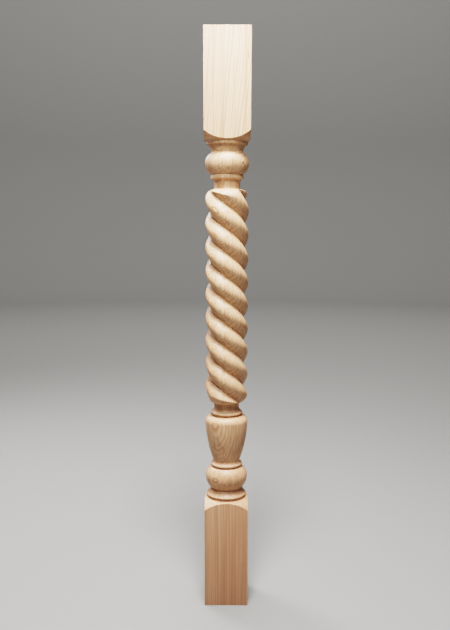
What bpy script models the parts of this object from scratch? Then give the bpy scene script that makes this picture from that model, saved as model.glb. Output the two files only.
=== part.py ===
"""Turned baluster with a three-strand rope twist.

One square blank of pale hardwood is turned between its two square blocks, and the middle
of the turning is then carved into three strands that wind down it as a left-hand rope.
The solid is made the same way: a turned form, kept to what the carver leaves of it and to
what lies inside the square blank. Metres, +Z up, underside at z = 0, front towards -Y.
"""

import math

import bmesh
import bpy

# The square blank
BLANK_SIDE = 0.0700

# Bottom block, up to the inner edge of its shoulder. The shoulder is turned to a full, swelled
# curve: the block's corners end lower by the drop, and the middle of the curve stands out
# from a straight line by the swell.
BOTTOM_BLOCK_LENGTH = 0.1771
BOTTOM_SHOULDER_RADIUS = 0.0316
BOTTOM_SHOULDER_DROP = 0.0134
BOTTOM_SHOULDER_SWELL = 0.0013

# Narrow groove, and the disc above it with its hollow, sloping top
QUIRK_LENGTH = 0.0043
QUIRK_RADIUS = 0.0307
DISC_LENGTH = 0.0118
DISC_RIM_LENGTH = 0.0015
DISC_RADIUS = 0.0322
DISC_TOP_RADIUS = 0.0248
DISC_HOLLOW = 0.0006

# Lower ball, with the height of its widest line above its foot, and the groove over it
LOWER_BALL_LENGTH = 0.0360
LOWER_BALL_WAIST = 0.0199
LOWER_BALL_RADIUS = 0.0338
LOWER_BALL_TOP_RADIUS = 0.0240
LOWER_BALL_GROOVE_LENGTH = 0.0023
LOWER_BALL_GROOVE_RADIUS = 0.0234

# Collar over the lower ball, and the small cove from it to the vase
LOWER_COLLAR_LENGTH = 0.0027
LOWER_COLLAR_RADIUS = 0.0256
LOWER_COVE_LENGTH = 0.0058

# Vase, from its foot up to the rounded shoulder and the groove that ends it
VASE_LENGTH = 0.0744
VASE_FOOT_RADIUS = 0.0215
VASE_RADIUS = 0.0341
VASE_SWELL = 0.0027
VASE_SHOULDER_LENGTH = 0.0105
VASE_LIP_RADIUS = 0.0248
VASE_GROOVE_LENGTH = 0.0034
VASE_GROOVE_RADIUS = 0.0239

# Collar over the vase, the cove above it, and the neck under the twist
UPPER_COLLAR_LENGTH = 0.0020
UPPER_COLLAR_RADIUS = 0.0256
UPPER_COVE_LENGTH = 0.0080
LOWER_NECK_LENGTH = 0.0072
NECK_RADIUS = 0.0200

# Twist. Each end of it is turned to a dome before the strands are carved, and the
# allowance is the wood that the carving takes off their crests.
TWIST_LENGTH = 0.3361
LOWER_DOME_LENGTH = 0.0169
UPPER_DOME_LENGTH = 0.0154
CARVING_ALLOWANCE = 0.0003
STRANDS = 3
STRAND_RADIUS = 0.0213
STRAND_OFFSET = 0.0122
TWIST_LEAD = 0.1096
TWIST_START_ANGLE = math.radians(129.6)

# Neck over the twist, and the cove and the collar above it
UPPER_NECK_LENGTH = 0.0090
NECK_COVE_LENGTH = 0.0066
NECK_COLLAR_LENGTH = 0.0052
NECK_COLLAR_RADIUS = 0.0256
NECK_COLLAR_TOP_RADIUS = 0.0248

# Top ball, and the hollow throat between it and the sharp arris over it
TOP_BALL_LENGTH = 0.0336
TOP_BALL_WAIST = 0.0178
TOP_BALL_FOOT_RADIUS = 0.0242
TOP_BALL_RADIUS = 0.0337
THROAT_RADIUS = 0.0241
THROAT_LENGTH = 0.0112
THROAT_HOLLOW = 0.0012

# Upright band over that arris, and the small cove from it out to the top block's shoulder.
# The arris stands out over the throat by the ledge.
BAND_LENGTH = 0.0028
BAND_RADIUS = 0.0315
BAND_LEDGE = 0.0020
TOP_COVE_LENGTH = 0.0025

# Top block, from the inner edge of its swelled shoulder to the top
TOP_BLOCK_LENGTH = 0.1580
TOP_SHOULDER_RADIUS = 0.0336
TOP_SHOULDER_RISE = 0.0133
TOP_SHOULDER_SWELL = 0.00115

# How far the turned form and the carver's core run past the blank
OVERRUN = 0.006
# Share of each shoulder's curve that runs on past the block's corners
SHOULDER_OVERRUN = 0.15

# Facets. No facet of a turned curve lies deeper inside it than the facet gap.
TURNED_SEGMENTS = 36
FACET_GAP = 0.0002
ARC_STEP = math.radians(20.0)
STRAND_FACETS = 10
TWIST_STEP = math.radians(17.0)
SHARP_ANGLE = math.radians(32.0)

WOOD_COLOUR = (0.66, 0.45, 0.29, 1.0)
WOOD_ROUGHNESS = 0.55

CORNER_RADIUS = BLANK_SIDE / math.sqrt(2)
CREST_RADIUS = STRAND_OFFSET + STRAND_RADIUS


def facet_count(sweep, radius):
    """Number of facets for a sweep of that radius."""
    return math.ceil(sweep / min(ARC_STEP, 2 * math.acos(1 - FACET_GAP / radius)))


def arc(start, end, swell, before=0.0, after=0.0):
    """Points on the circle through start and end whose middle lies to the right of the way
    from start to end by swell, or to the left of it where swell is negative. before and
    after are the shares of it past each end."""
    across = end[0] - start[0]
    rise = end[1] - start[1]
    chord = math.hypot(across, rise)
    radius = chord * chord / (8 * swell) + swell / 2
    centre = (
        (start[0] + end[0]) / 2 - (radius - swell) * rise / chord,
        (start[1] + end[1]) / 2 + (radius - swell) * across / chord,
    )
    begin = math.atan2(start[1] - centre[1], start[0] - centre[0])
    sweep = 2 * math.asin(chord / (2 * radius))
    steps = facet_count(abs(sweep) * (1 + before + after), abs(radius))
    points = []
    for step in range(steps + 1):
        share = -before + (1 + before + after) * step / steps
        angle = begin + sweep * share
        points.append(
            (
                centre[0] + abs(radius) * math.cos(angle),
                centre[1] + abs(radius) * math.sin(angle),
            )
        )
    return points


def bow(start, end, upright_end):
    """Points on the circle through start and end that runs straight up at one of them."""
    upright, other = (end, start) if upright_end else (start, end)
    across = other[0] - upright[0]
    rise = other[1] - upright[1]
    radius = (across * across + rise * rise) / (2 * abs(across))
    sweep = math.atan2(abs(rise), radius - abs(across))
    steps = facet_count(sweep, radius)
    points = []
    for step in range(steps + 1):
        angle = sweep * step / steps
        points.append(
            (
                upright[0] + math.copysign(radius * (1 - math.cos(angle)), across),
                upright[1] + math.copysign(radius * math.sin(angle), rise),
            )
        )
    return points[::-1] if upright_end else points


class Outline:
    """Half section of the turned form, as (radius, height) points from the bottom up."""

    def __init__(self, points):
        self.points = list(points)

    def straight(self, radius, rise=0.0):
        self.points.append((radius, self.points[-1][1] + rise))

    def upright_at_start(self, radius, rise):
        start = self.points[-1]
        self.points += bow(start, (radius, start[1] + rise), False)[1:]

    def upright_at_end(self, radius, rise):
        start = self.points[-1]
        self.points += bow(start, (radius, start[1] + rise), True)[1:]

    def curve(self, radius, rise, swell, after=0.0):
        start = self.points[-1]
        self.points += arc(start, (radius, start[1] + rise), swell, after=after)[1:]


def turned_outline():
    """The turned form's half section, and the heights of the twist's two ends and the top."""
    corner = (CORNER_RADIUS, BOTTOM_BLOCK_LENGTH - BOTTOM_SHOULDER_DROP)
    inner_edge = (BOTTOM_SHOULDER_RADIUS, BOTTOM_BLOCK_LENGTH)
    shoulder = arc(corner, inner_edge, BOTTOM_SHOULDER_SWELL, before=SHOULDER_OVERRUN)
    line = Outline([(0.0, -OVERRUN), (shoulder[0][0], -OVERRUN)] + shoulder)

    # Groove, disc, lower ball, its groove and collar, and the cove
    line.straight(QUIRK_RADIUS)
    line.straight(QUIRK_RADIUS, QUIRK_LENGTH)
    line.straight(DISC_RADIUS)
    line.straight(DISC_RADIUS, DISC_RIM_LENGTH)
    line.curve(DISC_TOP_RADIUS, DISC_LENGTH - DISC_RIM_LENGTH, -DISC_HOLLOW)
    line.upright_at_end(LOWER_BALL_RADIUS, LOWER_BALL_WAIST)
    line.upright_at_start(LOWER_BALL_TOP_RADIUS, LOWER_BALL_LENGTH - LOWER_BALL_WAIST)
    line.straight(LOWER_BALL_GROOVE_RADIUS)
    line.straight(LOWER_BALL_GROOVE_RADIUS, LOWER_BALL_GROOVE_LENGTH)
    line.straight(LOWER_COLLAR_RADIUS)
    line.straight(LOWER_COLLAR_RADIUS, LOWER_COLLAR_LENGTH)
    line.upright_at_end(VASE_FOOT_RADIUS, LOWER_COVE_LENGTH)

    # Vase, groove, collar, cove and neck
    line.curve(VASE_RADIUS, VASE_LENGTH - VASE_SHOULDER_LENGTH, VASE_SWELL)
    line.upright_at_start(VASE_LIP_RADIUS, VASE_SHOULDER_LENGTH)
    line.straight(VASE_GROOVE_RADIUS)
    line.straight(VASE_GROOVE_RADIUS, VASE_GROOVE_LENGTH)
    line.straight(UPPER_COLLAR_RADIUS)
    line.straight(UPPER_COLLAR_RADIUS, UPPER_COLLAR_LENGTH)
    line.upright_at_end(NECK_RADIUS, UPPER_COVE_LENGTH)
    line.straight(NECK_RADIUS, LOWER_NECK_LENGTH)

    # Round bar between two domes, from which the strands are carved
    twist_bottom = line.points[-1][1]
    bar_length = TWIST_LENGTH - LOWER_DOME_LENGTH - UPPER_DOME_LENGTH
    line.upright_at_end(CREST_RADIUS + CARVING_ALLOWANCE, LOWER_DOME_LENGTH)
    line.straight(CREST_RADIUS + CARVING_ALLOWANCE, bar_length)
    line.upright_at_start(NECK_RADIUS, UPPER_DOME_LENGTH)
    twist_top = line.points[-1][1]

    # Neck, cove, collar, top ball, throat, band and cove
    line.straight(NECK_RADIUS, UPPER_NECK_LENGTH)
    line.upright_at_start(NECK_COLLAR_RADIUS, NECK_COVE_LENGTH)
    line.straight(NECK_COLLAR_TOP_RADIUS, NECK_COLLAR_LENGTH)
    line.straight(TOP_BALL_FOOT_RADIUS)
    line.upright_at_end(TOP_BALL_RADIUS, TOP_BALL_WAIST)
    line.upright_at_start(THROAT_RADIUS, TOP_BALL_LENGTH - TOP_BALL_WAIST)
    line.curve(BAND_RADIUS - BAND_LEDGE, THROAT_LENGTH, -THROAT_HOLLOW)
    line.straight(BAND_RADIUS)
    line.straight(BAND_RADIUS, BAND_LENGTH)
    line.upright_at_start(TOP_SHOULDER_RADIUS, TOP_COVE_LENGTH)

    # Shoulder and top block
    top = line.points[-1][1] + TOP_BLOCK_LENGTH
    line.curve(CORNER_RADIUS, TOP_SHOULDER_RISE, TOP_SHOULDER_SWELL, SHOULDER_OVERRUN)
    line.points.append((line.points[-1][0], top + OVERRUN))
    line.points.append((0.0, top + OVERRUN))
    return line.points, twist_bottom, twist_top, top


def mesh_object(name, bm):
    """A new object in the scene from a bmesh, with its faces turned outwards."""
    bmesh.ops.recalc_face_normals(bm, faces=bm.faces)
    mesh = bpy.data.meshes.new(name)
    bm.to_mesh(mesh)
    bm.free()
    obj = bpy.data.objects.new(name, mesh)
    bpy.context.scene.collection.objects.link(obj)
    return obj


def turned_form(outline):
    """The outline spun about the vertical axis."""
    bm = bmesh.new()
    verts = [bm.verts.new((radius, 0.0, height)) for radius, height in outline]
    edges = [bm.edges.new(pair) for pair in zip(verts, verts[1:])]
    bmesh.ops.spin(
        bm,
        geom=verts + edges,
        cent=(0, 0, 0),
        axis=(0, 0, 1),
        angle=math.tau,
        steps=TURNED_SEGMENTS,
        use_merge=True,
    )
    bmesh.ops.remove_doubles(bm, verts=bm.verts, dist=1e-6)
    return mesh_object("baluster", bm)


def strand_section(turn):
    """Horizontal section of the rope: one arc for each strand, meeting its neighbours in
    a sharp groove. turn is the direction of the first strand's crest."""
    half = math.pi / STRANDS
    groove_depth_squared = STRAND_RADIUS**2 - (STRAND_OFFSET * math.sin(half)) ** 2
    groove_radius = STRAND_OFFSET * math.cos(half) + math.sqrt(groove_depth_squared)
    meeting = math.atan2(
        groove_radius * math.sin(half), groove_radius * math.cos(half) - STRAND_OFFSET
    )
    points = []
    for strand in range(STRANDS):
        crest = turn + 2 * half * strand
        for facet in range(STRAND_FACETS):
            angle = crest + meeting * (2 * facet / STRAND_FACETS - 1)
            points.append(
                (
                    STRAND_OFFSET * math.cos(crest) + STRAND_RADIUS * math.cos(angle),
                    STRAND_OFFSET * math.sin(crest) + STRAND_RADIUS * math.sin(angle),
                )
            )
    return points


def round_section(turn):
    """The same points pushed out to a circle that is wider than the blank's corners."""
    points = []
    for x, y in strand_section(turn):
        scale = (CORNER_RADIUS + 2 * OVERRUN) / math.hypot(x, y)
        points.append((x * scale, y * scale))
    return points


def carved_core(twist_bottom, twist_top, top):
    """What the carver leaves: the rope between the middles of the two necks, and all of
    the wood beyond them."""
    low = twist_bottom - LOWER_NECK_LENGTH / 2
    high = twist_top + UPPER_NECK_LENGTH / 2
    steps = math.ceil((high - low) / TWIST_LEAD * math.tau / TWIST_STEP)
    # Going down, the left-hand strands wind anticlockwise seen from above
    turn_at_low = TWIST_START_ANGLE + math.tau * (twist_top - low) / TWIST_LEAD
    turn_at_high = TWIST_START_ANGLE - math.tau * (high - twist_top) / TWIST_LEAD
    wide_low = round_section(turn_at_low)
    wide_high = round_section(turn_at_high)
    levels = [(wide_low, low)]
    for step in range(steps + 1):
        share = step / steps
        turn = turn_at_low + (turn_at_high - turn_at_low) * share
        levels.append((strand_section(turn), low + (high - low) * share))
    levels += [(wide_high, high), (wide_high, top + 2 * OVERRUN)]

    bm = bmesh.new()
    ring = [bm.verts.new((x, y, -2 * OVERRUN)) for x, y in wide_low]
    edges = [bm.edges.new((a, b)) for a, b in zip(ring, ring[1:] + ring[:1])]
    bmesh.ops.contextual_create(bm, geom=edges)
    for section, height in levels:
        grown = bmesh.ops.extrude_edge_only(bm, edges=edges)["geom"]
        ring = [item for item in grown if isinstance(item, bmesh.types.BMVert)]
        edges = [item for item in grown if isinstance(item, bmesh.types.BMEdge)]
        for vert, (x, y) in zip(ring, section):
            vert.co = (x, y, height)
    bmesh.ops.contextual_create(bm, geom=edges)
    return mesh_object("carved_core", bm)


def square_blank(top):
    bm = bmesh.new()
    bmesh.ops.create_cube(bm, size=1.0)
    bmesh.ops.scale(bm, vec=(BLANK_SIDE, BLANK_SIDE, top), verts=bm.verts)
    bmesh.ops.translate(bm, vec=(0, 0, top / 2), verts=bm.verts)
    return mesh_object("square_blank", bm)


def keep_inside(obj, guide):
    """Cuts obj to what lies inside the guide, which stays in the file as a wire."""
    guide.hide_render = True
    guide.display_type = "WIRE"
    modifier = obj.modifiers.new(guide.name, "BOOLEAN")
    modifier.operation = "INTERSECT"
    modifier.solver = "EXACT"
    modifier.object = guide


def wood_material():
    material = bpy.data.materials.new("wood")
    material.use_nodes = True
    shader = material.node_tree.nodes["Principled BSDF"]
    shader.inputs["Base Color"].default_value = WOOD_COLOUR
    shader.inputs["Roughness"].default_value = WOOD_ROUGHNESS
    shader.inputs["Metallic"].default_value = 0.0
    material.diffuse_color = WOOD_COLOUR
    return material


def build():
    for obj in list(bpy.data.objects):
        bpy.data.objects.remove(obj)
    outline, twist_bottom, twist_top, top = turned_outline()
    baluster = turned_form(outline)
    baluster.data.materials.append(wood_material())
    baluster.data.shade_smooth()
    baluster.data.set_sharp_from_angle(angle=SHARP_ANGLE)
    keep_inside(baluster, carved_core(twist_bottom, twist_top, top))
    keep_inside(baluster, square_blank(top))


build()
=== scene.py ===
"""A turned baluster with a three-strand rope twist, in bare pale hardwood on a pale floor.

Metres, +Z up, underside of the lower block at z = 0, front of the blocks towards -Y.
"""

import math

import bmesh
import bpy
from mathutils import Matrix, Vector


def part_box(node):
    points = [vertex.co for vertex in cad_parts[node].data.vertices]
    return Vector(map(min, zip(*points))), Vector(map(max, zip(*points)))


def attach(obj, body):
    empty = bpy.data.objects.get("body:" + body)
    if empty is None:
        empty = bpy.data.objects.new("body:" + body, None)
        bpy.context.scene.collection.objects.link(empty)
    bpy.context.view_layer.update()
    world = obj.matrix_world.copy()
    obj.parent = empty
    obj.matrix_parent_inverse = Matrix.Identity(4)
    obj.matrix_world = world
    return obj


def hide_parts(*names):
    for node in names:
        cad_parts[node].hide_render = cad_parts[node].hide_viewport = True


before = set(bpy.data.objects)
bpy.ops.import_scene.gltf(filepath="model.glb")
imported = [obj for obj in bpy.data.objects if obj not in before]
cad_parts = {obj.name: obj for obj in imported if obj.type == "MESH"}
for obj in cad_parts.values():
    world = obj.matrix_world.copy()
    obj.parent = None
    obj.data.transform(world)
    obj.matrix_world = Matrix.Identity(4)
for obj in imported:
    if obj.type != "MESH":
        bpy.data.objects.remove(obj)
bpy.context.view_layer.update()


# Baluster, the turned form.
# One length of pale, close-grained hardwood, held between a lathe's centres. All that lies
# between its two square blocks is turned with gouge and skew, and sanded as it spins.

BLANK_SIDE = 0.0700
CORNER_RADIUS = BLANK_SIDE / math.sqrt(2)
PAST_THE_BLANK = 0.006
LATHE_SEGMENTS = 144
CURVE_STEP = math.radians(6.0)
SOFTEST_ARRIS = math.radians(20)
EASED_ARRIS = 0.00025
EASED_STEPS = 3

# Bottom block, and the narrow groove and hollow-topped disc above it
BOTTOM_BLOCK_LENGTH = 0.1771
BOTTOM_SHOULDER = {"radius": 0.0316, "rise": 0.0134, "swell": 0.0013}
QUIRK = {"radius": 0.0307, "rise": 0.0043}
DISC_RIM = {"radius": 0.0322, "rise": 0.0015}
DISC_TOP = {"radius": 0.0248, "rise": 0.0103, "swell": -0.0006}

# Lower ball below and above its widest line, and its groove, collar and cove
LOWER_BALL_FOOT = {"radius": 0.0338, "rise": 0.0199}
LOWER_BALL_HEAD = {"radius": 0.0240, "rise": 0.0161}
LOWER_BALL_GROOVE = {"radius": 0.0234, "rise": 0.0023}
LOWER_COLLAR = {"radius": 0.0256, "rise": 0.0027}
LOWER_COVE = {"radius": 0.0215, "rise": 0.0058}

# Vase, its rounded shoulder, and the groove, collar, cove and neck above it
VASE = {"radius": 0.0341, "rise": 0.0639, "swell": 0.0027}
VASE_SHOULDER = {"radius": 0.0248, "rise": 0.0105}
VASE_GROOVE = {"radius": 0.0239, "rise": 0.0034}
UPPER_COLLAR = {"radius": 0.0256, "rise": 0.0020}
NECK_RADIUS = 0.0200
UPPER_COVE_LENGTH = 0.0080
LOWER_NECK_LENGTH = 0.0072

# Round bar between two domes, a little wider than the strands that are carved from it
TWIST_LENGTH = 0.3361
LOWER_DOME_LENGTH = 0.0169
UPPER_DOME_LENGTH = 0.0154
CARVING_ALLOWANCE = 0.0003
STRAND_RADIUS = 0.0213
STRAND_OFFSET = 0.0122
BAR_RADIUS = STRAND_OFFSET + STRAND_RADIUS + CARVING_ALLOWANCE

# Neck, cove and collar under the top ball, and the ball below and above its widest line
UPPER_NECK_LENGTH = 0.0090
NECK_COVE = {"radius": 0.0256, "rise": 0.0066}
NECK_COLLAR = {"radius": 0.0248, "rise": 0.0052}
TOP_BALL_FOOT_RADIUS = 0.0242
TOP_BALL_FOOT = {"radius": 0.0337, "rise": 0.0178}
TOP_BALL_HEAD = {"radius": 0.0241, "rise": 0.0158}

# Hollow throat, upright band, small cove and the top block's swelled shoulder
THROAT = {"radius": 0.0295, "rise": 0.0112, "swell": -0.0012}
BAND = {"radius": 0.0315, "rise": 0.0028}
TOP_COVE = {"radius": 0.0336, "rise": 0.0025}
TOP_SHOULDER = {"radius": CORNER_RADIUS, "rise": 0.0133, "swell": 0.00115}


class TurnedOutline:
    """The half section that the turner's tools leave, drawn upwards as a chain of edges."""

    def __init__(self, radius, height):
        self.bm = bmesh.new()
        self.tip = self.bm.verts.new((radius, 0, height))

    def straight(self, radius, rise=0.0):
        height = self.tip.co.z + rise
        grown = bmesh.ops.extrude_vert_indiv(self.bm, verts=[self.tip])
        self.tip = grown["verts"][0]
        self.tip.co = (radius, 0, height)

    def step(self, radius, rise):
        """A flat ledge in or out to the radius, and an upright face from there."""
        self.straight(radius)
        self.straight(radius, rise)

    def sweep(self, centre_radius, centre_height, angle):
        grown = bmesh.ops.spin(
            self.bm,
            geom=[self.tip],
            cent=(centre_radius, 0, centre_height),
            axis=(0, -1, 0),
            angle=angle,
            steps=max(3, math.ceil(abs(angle) / CURVE_STEP)),
        )
        self.tip = [item for item in grown["geom_last"] if isinstance(item, bmesh.types.BMVert)][0]

    def upright_arc(self, radius, rise):
        """The bend and the angle of an arc that is upright at one of its ends."""
        across = radius - self.tip.co.x
        bend = (across * across + rise * rise) / (2 * across)
        angle = math.atan2(rise, abs(bend) - abs(across))
        return bend, math.copysign(angle, across)

    def upright_at_start(self, radius, rise):
        bend, angle = self.upright_arc(radius, rise)
        self.sweep(self.tip.co.x + bend, self.tip.co.z, -angle)

    def upright_at_end(self, radius, rise):
        bend, angle = self.upright_arc(radius, rise)
        self.sweep(radius - bend, self.tip.co.z + rise, angle)

    def curve(self, radius, rise, swell):
        """An arc whose middle stands out from a straight line by swell, or lies in where
        swell is negative."""
        across = radius - self.tip.co.x
        chord = math.hypot(across, rise)
        bend = chord * chord / (8 * swell) + swell / 2
        self.sweep(
            self.tip.co.x + across / 2 - (bend - swell) * rise / chord,
            self.tip.co.z + rise / 2 + (bend - swell) * across / chord,
            2 * math.asin(chord / (2 * bend)),
        )

    def ease_arrises(self):
        """A small round on each edge that is sharper than the softest arris."""
        corners = []
        for vert in self.bm.verts:
            if len(vert.link_edges) == 2:
                ways = [edge.other_vert(vert).co - vert.co for edge in vert.link_edges]
                if ways[0].angle(-ways[1]) > SOFTEST_ARRIS:
                    corners.append(vert)
        bmesh.ops.bevel(
            self.bm,
            geom=corners,
            offset=EASED_ARRIS,
            offset_type="OFFSET",
            affect="VERTICES",
            segments=EASED_STEPS,
            profile=0.5,
            material=-1,
        )


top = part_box("baluster")[1].z
line = TurnedOutline(0, -PAST_THE_BLANK)
line.straight(CORNER_RADIUS)
line.straight(CORNER_RADIUS, BOTTOM_BLOCK_LENGTH - BOTTOM_SHOULDER["rise"] + PAST_THE_BLANK)
line.curve(**BOTTOM_SHOULDER)
line.step(**QUIRK)
line.step(**DISC_RIM)
line.curve(**DISC_TOP)
line.upright_at_end(**LOWER_BALL_FOOT)
line.upright_at_start(**LOWER_BALL_HEAD)
line.step(**LOWER_BALL_GROOVE)
line.step(**LOWER_COLLAR)
line.upright_at_end(**LOWER_COVE)
line.curve(**VASE)
line.upright_at_start(**VASE_SHOULDER)
line.step(**VASE_GROOVE)
line.step(**UPPER_COLLAR)
line.upright_at_end(NECK_RADIUS, UPPER_COVE_LENGTH)
line.straight(NECK_RADIUS, LOWER_NECK_LENGTH)
twist_bottom = line.tip.co.z
line.upright_at_end(BAR_RADIUS, LOWER_DOME_LENGTH)
line.straight(BAR_RADIUS, TWIST_LENGTH - LOWER_DOME_LENGTH - UPPER_DOME_LENGTH)
line.upright_at_start(NECK_RADIUS, UPPER_DOME_LENGTH)
twist_top = line.tip.co.z
line.straight(NECK_RADIUS, UPPER_NECK_LENGTH)
line.upright_at_start(**NECK_COVE)
line.straight(**NECK_COLLAR)
line.straight(TOP_BALL_FOOT_RADIUS)
line.upright_at_end(**TOP_BALL_FOOT)
line.upright_at_start(**TOP_BALL_HEAD)
line.curve(**THROAT)
line.step(**BAND)
line.upright_at_start(**TOP_COVE)
line.curve(**TOP_SHOULDER)
line.straight(CORNER_RADIUS, top + PAST_THE_BLANK - line.tip.co.z)
line.straight(0)
line.ease_arrises()

turning = line.bm
bmesh.ops.spin(
    turning,
    geom=turning.verts[:] + turning.edges[:],
    cent=(0, 0, 0),
    axis=(0, 0, 1),
    angle=math.tau,
    steps=LATHE_SEGMENTS,
    use_merge=True,
)
bmesh.ops.remove_doubles(turning, verts=turning.verts, dist=1e-7)
bmesh.ops.recalc_face_normals(turning, faces=turning.faces)


# Baluster, the carver's and the joiner's work.
# The strands are cut from the round bar along three grooves that wind down it as a left-hand
# rope. The blocks keep the planed faces of the square blank, with just their sharp edge off.

STRANDS = 3
STRAND_FACETS = 40
TWIST_LEAD = 0.1096
TWIST_START_ANGLE = math.radians(129.6)
TWIST_STEP = math.radians(4.0)
CLEAR_OF_THE_BLANK = 2.5
PLANED_ARRIS = 0.0005
SMOOTHED_UP_TO = math.radians(28)


def carved_strands(low, high):
    """A rope between two heights, and wood wider than the blank below and above it."""
    half = math.pi / STRANDS
    valley = STRAND_OFFSET * math.cos(half) + math.sqrt(
        STRAND_RADIUS**2 - (STRAND_OFFSET * math.sin(half)) ** 2
    )
    meeting = math.atan2(valley * math.sin(half), valley * math.cos(half) - STRAND_OFFSET)
    crest = TWIST_START_ANGLE + math.tau * (twist_top - low) / TWIST_LEAD
    levels = math.ceil((high - low) / TWIST_LEAD * math.tau / TWIST_STEP)

    # One cross-section, an arc for each strand from valley to valley
    bm = bmesh.new()
    tip = bm.verts.new(Matrix.Rotation(crest - half, 3, "Z") @ Vector((valley, 0, low)))
    for strand in range(STRANDS):
        middle = Matrix.Rotation(crest + 2 * half * strand, 3, "Z") @ Vector((STRAND_OFFSET, 0, low))
        grown = bmesh.ops.spin(
            bm,
            geom=[tip],
            cent=middle,
            axis=(0, 0, 1),
            angle=2 * meeting,
            steps=STRAND_FACETS,
        )
        tip = [item for item in grown["geom_last"] if isinstance(item, bmesh.types.BMVert)][0]
    bmesh.ops.remove_doubles(bm, verts=bm.verts, dist=1e-6)
    section = bm.edges[:]

    # Turned as it rises, which winds the strands
    grown = bmesh.ops.spin(
        bm,
        geom=section,
        cent=(0, 0, 0),
        axis=(0, 0, 1),
        dvec=(0, 0, (high - low) / levels),
        angle=-math.tau * (high - low) / TWIST_LEAD,
        steps=levels,
    )
    last = [item for item in grown["geom_last"] if isinstance(item, bmesh.types.BMEdge)]

    # Widened at each end, carried past the end of the blank and closed there
    for edges, end in ((section, -2 * PAST_THE_BLANK), (last, top + 2 * PAST_THE_BLANK)):
        for height in (None, end):
            grown = bmesh.ops.extrude_edge_only(bm, edges=edges)["geom"]
            edges = [item for item in grown if isinstance(item, bmesh.types.BMEdge)]
            ring = [item for item in grown if isinstance(item, bmesh.types.BMVert)]
            if height is None:
                bmesh.ops.scale(bm, vec=(CLEAR_OF_THE_BLANK, CLEAR_OF_THE_BLANK, 1), verts=ring)
            else:
                bmesh.ops.translate(bm, vec=(0, 0, height - ring[0].co.z), verts=ring)
        bmesh.ops.contextual_create(bm, geom=edges)
    bmesh.ops.recalc_face_normals(bm, faces=bm.faces)
    return bm


def square_blank():
    """The planed blank with its edges eased."""
    bm = bmesh.new()
    bmesh.ops.create_cube(bm, size=1)
    bmesh.ops.scale(bm, vec=(BLANK_SIDE, BLANK_SIDE, top), verts=bm.verts)
    bmesh.ops.translate(bm, vec=(0, 0, top / 2), verts=bm.verts)
    bmesh.ops.bevel(
        bm,
        geom=bm.edges[:],
        offset=PLANED_ARRIS,
        offset_type="OFFSET",
        affect="EDGES",
        segments=EASED_STEPS,
        profile=0.5,
        material=-1,
    )
    return bm


def piece_from(name, bm):
    """The bmesh as an object of its own, at the origin."""
    mesh = bpy.data.meshes.new(name)
    bm.to_mesh(mesh)
    bm.free()
    piece = bpy.data.objects.new(name, mesh)
    bpy.context.scene.collection.objects.link(piece)
    return piece


rough = piece_from("rough_turning", turning)
guides = [
    piece_from(
        "strand_guide",
        carved_strands(twist_bottom - LOWER_NECK_LENGTH / 2, twist_top + UPPER_NECK_LENGTH / 2),
    ),
    piece_from("blank_guide", square_blank()),
]
for guide in guides:
    cut = rough.modifiers.new(guide.name, "BOOLEAN")
    cut.operation = "INTERSECT"
    cut.solver = "EXACT"
    cut.object = guide
depsgraph = bpy.context.evaluated_depsgraph_get()
finished = bmesh.new()
finished.from_object(rough, depsgraph)
for helper in [rough] + guides:
    bpy.data.objects.remove(helper)
bmesh.ops.remove_doubles(finished, verts=finished.verts, dist=2e-6)
bmesh.ops.dissolve_degenerate(finished, dist=1e-6, edges=finished.edges)
baluster = piece_from("turned_baluster", finished)
baluster.data.shade_smooth()
baluster.data.set_sharp_from_angle(angle=SMOOTHED_UP_TO)


# Baluster, the bare wood.
# Sanded and left unfinished: creamy to pinkish tan, with close growth lines that run up the
# blocks, close into ovals where a curve cuts them, and show as arcs on the sawn ends.

PITH = (0.175, 0.303, 0)
RING_WIDTH = 0.0019
RING_WANDER = 0.007
RING_UNEVENNESS = 2.4
SLANT_STARTS = 0.66
SLANT = 0.045
KNOT_PLACE = (0.0238, -0.0235, 0.7088)
KNOT_REACH = 0.009
KNOT_PULL = 0.0032
BARK_PLACE = (0.0309, -0.035, 0.8590)
SAPWOOD = (0.73, 0.480, 0.300, 1)
REDDER_TONE = (0.62, 0.345, 0.225, 1)
LATE_WOOD = (0.44, 0.225, 0.125, 1)
DARK_FLECK = (0.30, 0.16, 0.08, 1)
KNOT_HEART = (0.13, 0.05, 0.022, 1)
BARK = (0.30, 0.16, 0.09, 1)
END_GRAIN = (0.50, 0.31, 0.17, 1)
GRAIN_DEPTH = 0.00008

wood = bpy.data.materials.new("bare_hardwood")
wood.use_nodes = True
nodes, links = wood.node_tree.nodes, wood.node_tree.links
shader = nodes["Principled BSDF"]


def node(kind, inputs=(), **settings):
    """A node with its settings, and its inputs set to numbers or linked to sockets."""
    made = nodes.new(kind)
    for name, value in settings.items():
        setattr(made, name, value)
    for slot, value in dict(inputs).items():
        if isinstance(value, bpy.types.NodeSocket):
            links.new(value, made.inputs[slot])
        else:
            made.inputs[slot].default_value = value
    return made


def maths(operation, *values):
    return node("ShaderNodeMath", dict(enumerate(values)), operation=operation).outputs[0]


def vector(operation, *values, output=0):
    return node("ShaderNodeVectorMath", dict(enumerate(values)), operation=operation).outputs[output]


def ramp(value, low, high, to_low=0.0, to_high=1.0):
    """A smooth climb, or a fall where low is the larger, from one number to the other."""
    limits = {"Value": value, "From Min": low, "From Max": high, "To Min": to_low, "To Max": to_high}
    return node("ShaderNodeMapRange", limits, interpolation_type="SMOOTHSTEP").outputs["Result"]


def noise(place, scale, stretch, detail, roughness=0.5):
    """Noise between 0 and 1, drawn out along the grain by the stretch."""
    drawn = vector("MULTIPLY", place, (1, 1, 1 / stretch))
    limits = {"Vector": drawn, "Scale": scale, "Detail": detail, "Roughness": roughness}
    return node("ShaderNodeTexNoise", limits).outputs["Fac"]


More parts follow.
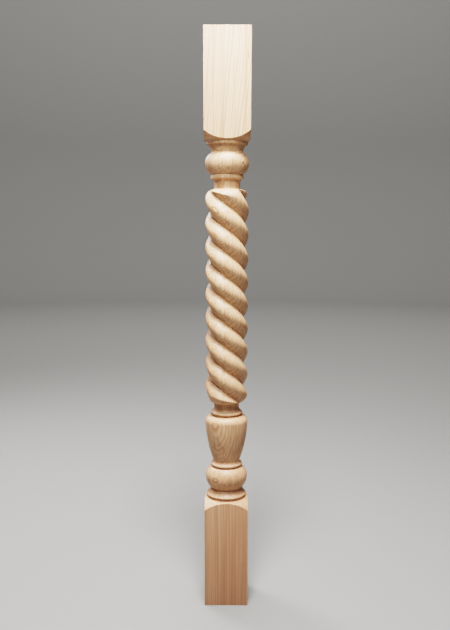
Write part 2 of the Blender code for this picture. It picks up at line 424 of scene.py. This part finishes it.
def noise_along(value, scale, detail=0.0):
    """Noise between 0 and 1 that changes with one number alone."""
    limits = {"W": value, "Scale": scale, "Detail": detail}
    return node("ShaderNodeTexNoise", limits, noise_dimensions="1D").outputs["Fac"]


def mix(share, first, second):
    """The first colour with a share of the second over it."""
    return node("ShaderNodeMix", {0: share, 6: first, 7: second}, data_type="RGBA").outputs[2]


place = node("ShaderNodeTexCoord").outputs["Object"]
height = node("ShaderNodeSeparateXYZ", {0: place}).outputs["Z"]

# Pin knot on the right of the top ball. The growth lines part round it.
knot_offset = vector("SUBTRACT", place, KNOT_PLACE)
knot_reach = vector("LENGTH", vector("MULTIPLY", knot_offset, (1, 1, 0.62)), output="Value")
knot_pull = ramp(knot_reach, KNOT_REACH, 0.0, 0.0, KNOT_PULL)

# Growth rings about a pith far behind the baluster and to its right, a little uneven
from_pith = vector("MULTIPLY", vector("SUBTRACT", place, PITH), (1, 1, 0))
ring_radius = vector("LENGTH", from_pith, output="Value")
uneven = maths("SUBTRACT", noise(place, 16, stretch=6, detail=2), 0.5)
wander = maths("MULTIPLY", uneven, RING_WANDER)
slant = maths("MULTIPLY", maths("MAXIMUM", maths("SUBTRACT", height, SLANT_STARTS), 0.0), SLANT)
drift = maths("ADD", maths("ADD", wander, slant), knot_pull)
years = maths("DIVIDE", maths("ADD", ring_radius, drift), RING_WIDTH)
lean_and_fat = maths("MULTIPLY", noise_along(years, 0.31, detail=1.0), RING_UNEVENNESS)
years = maths("ADD", years, lean_and_fat)
season = maths("FRACT", years)
late = maths("MULTIPLY", ramp(season, 0.38, 0.88), ramp(season, 1.0, 0.91))
year_strength = ramp(noise_along(maths("FLOOR", years), 0.73), 0.3, 0.7, 0.35, 1.0)
late = maths("MULTIPLY", late, year_strength)

# Fibres, broader streaks and small dark flecks along the grain
fibres = noise(place, 800, stretch=45, detail=3, roughness=0.6)
streaks = noise(place, 300, stretch=90, detail=2)
flecks = ramp(noise(place, 1300, stretch=8, detail=1), 0.66, 0.76)
clouds = noise(place, 11, stretch=5, detail=2)

# Redder in broad random clouds, which is the wood's own tone. Also darker and redder towards the
# bottom: partly the wood's own redder tone, and partly painted shade where less light reaches the
# lower wood.
redder_tone_and_painted_shade = maths("ADD", ramp(clouds, 0.35, 0.65, 0.0, 0.5), ramp(height, 0.45, 0.12, 0.0, 0.5))
colour = mix(redder_tone_and_painted_shade, SAPWOOD, REDDER_TONE)
colour = mix(maths("MULTIPLY", late, 0.85), colour, LATE_WOOD)
colour = mix(ramp(streaks, 0.42, 0.70, 0.0, 0.62), colour, LATE_WOOD)
colour = mix(ramp(fibres, 0.42, 0.78, 0.0, 0.34), colour, LATE_WOOD)
colour = mix(maths("MULTIPLY", flecks, 0.30), colour, DARK_FLECK)

# The knot's pale collar and dark heart, and a short bark fleck on the top block's front
colour = mix(ramp(knot_reach, 0.0055, 0.0028, 0.0, 0.55), colour, SAPWOOD)
colour = mix(ramp(knot_reach, 0.0020, 0.0007), colour, KNOT_HEART)
bark_offset = vector("MULTIPLY", vector("SUBTRACT", place, BARK_PLACE), (1, 1, 0.13))
bark_reach = vector("LENGTH", bark_offset, output="Value")
colour = mix(ramp(bark_reach, 0.0011, 0.0004, 0.0, 0.8), colour, BARK)

# Sawn ends, where the wood is cut across and looks darker
surface = node("ShaderNodeNewGeometry").outputs["Normal"]
facing = node("ShaderNodeSeparateXYZ", {0: surface}).outputs["Z"]
across_grain = ramp(maths("ABSOLUTE", facing), 0.75, 0.99)
colour = mix(maths("MULTIPLY", across_grain, 0.35), colour, END_GRAIN)

links.new(colour, shader.inputs["Base Color"])
links.new(ramp(fibres, 0.2, 0.8, 0.42, 0.56), shader.inputs["Roughness"])
grain = maths("ADD", maths("MULTIPLY", fibres, 0.6), maths("MULTIPLY", late, 0.4))
bump = node("ShaderNodeBump", {"Height": grain, "Strength": 0.3, "Distance": GRAIN_DEPTH})
links.new(bump.outputs["Normal"], shader.inputs["Normal"])
baluster.data.materials.append(wood)

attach(baluster, "root")
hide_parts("baluster")


# Studio.
# A plain pale paper floor that curves up into a plain backdrop all round. Three soft lamps stand
# above, in front of and behind the baluster, and four broad ones light the backdrop.

FLOOR_RADIUS = 5.0
COVE_RADIUS = 1.5
WALL_RADIUS = FLOOR_RADIUS + COVE_RADIUS
WALL_TOP = 6.0
PAPER = (0.26, 0.256, 0.248, 1)
GREY_SKY = (0.86, 0.87, 0.9, 1)

bm = bmesh.new()
rim = bm.verts.new((FLOOR_RADIUS, 0, 0))
bend = bmesh.ops.spin(
    bm,
    geom=[rim],
    cent=(FLOOR_RADIUS, 0, COVE_RADIUS),
    axis=(0, -1, 0),
    angle=math.pi / 2,
    steps=16,
)
wall_foot = [item for item in bend["geom_last"] if isinstance(item, bmesh.types.BMVert)][0]
for vert, far_end in ((rim, (0, 0, 0)), (wall_foot, (WALL_RADIUS, 0, WALL_TOP))):
    grown = bmesh.ops.extrude_vert_indiv(bm, verts=[vert])
    grown["verts"][0].co = far_end
bmesh.ops.spin(
    bm,
    geom=bm.verts[:] + bm.edges[:],
    cent=(0, 0, 0),
    axis=(0, 0, 1),
    angle=math.tau,
    steps=96,
    use_merge=True,
)
bmesh.ops.remove_doubles(bm, verts=bm.verts, dist=1e-6)
bmesh.ops.recalc_face_normals(bm, faces=bm.faces)
bmesh.ops.reverse_faces(bm, faces=bm.faces)
floor = piece_from("floor_and_backdrop", bm)
floor.data.shade_smooth()
paper = bpy.data.materials.new("pale_paper")
paper.use_nodes = True
paper_shader = paper.node_tree.nodes["Principled BSDF"]
paper_shader.inputs["Base Color"].default_value = PAPER
paper_shader.inputs["Roughness"].default_value = 0.9
floor.data.materials.append(paper)

sky = bpy.data.worlds.new("grey_sky")
sky.use_nodes = True
background = sky.node_tree.nodes["Background"]
background.inputs["Color"].default_value = GREY_SKY
background.inputs["Strength"].default_value = 0.03
bpy.context.scene.world = sky
bpy.context.scene.view_settings.view_transform = "Filmic"
bpy.context.scene.view_settings.look = "Very High Contrast"


def lamp(name, place, aim, width, power):
    """A square soft lamp that the camera doesn't see."""
    data = bpy.data.lights.new(name, "AREA")
    data.size = width
    data.energy = power
    obj = bpy.data.objects.new(name, data)
    obj.location = place
    obj.rotation_euler = (Vector(aim) - Vector(place)).to_track_quat("-Z", "Y").to_euler()
    obj.visible_camera = False
    bpy.context.scene.collection.objects.link(obj)


middle = (0, 0, 0.45)
backdrop_lamp_place = Vector((0, 2.2, 4.6))
backdrop_lamp_aim = Vector((0, 6.0, 1.0))
lamp("lamp_above", (0, -0.37, 1.64), middle, 0.30, 30)
lamp("lamp_front", (-0.05, -0.62, 1.20), middle, 0.25, 5)
lamp("lamp_behind", (-0.85, 0.85, 1.30), middle, 0.50, 13)
backdrop_lamps = (("behind", 0, 200), ("left", 90, 60), ("front", 180, 50), ("right", 270, 60))
for side, degrees, power in backdrop_lamps:
    turn = Matrix.Rotation(math.radians(degrees), 3, "Z")
    lamp("backdrop_lamp_" + side, turn @ backdrop_lamp_place, turn @ backdrop_lamp_aim, 3.0, power)


# Camera.
# It stands straight in front, at the height of the twist, and looks a little down.

PHOTO_HEIGHT_PIXELS = 630
FOCAL_LENGTH_PIXELS = 700.8
SENSOR_HEIGHT_MM = 36
TILT_DOWN = math.radians(9.39)
ROLL = math.radians(0.12)

camera = bpy.data.cameras.new("camera")
camera.sensor_fit = "VERTICAL"
camera.sensor_height = SENSOR_HEIGHT_MM
camera.lens = SENSOR_HEIGHT_MM * FOCAL_LENGTH_PIXELS / PHOTO_HEIGHT_PIXELS
camera.shift_y = 0.05
viewer = bpy.data.objects.new("camera", camera)
viewer.location = (-0.0026, -1.1029, 0.6082)
viewer.rotation_euler = (math.radians(90) - TILT_DOWN, 0, 0)
viewer.rotation_euler.rotate_axis("Z", ROLL)
bpy.context.scene.collection.objects.link(viewer)
bpy.context.scene.camera = viewer
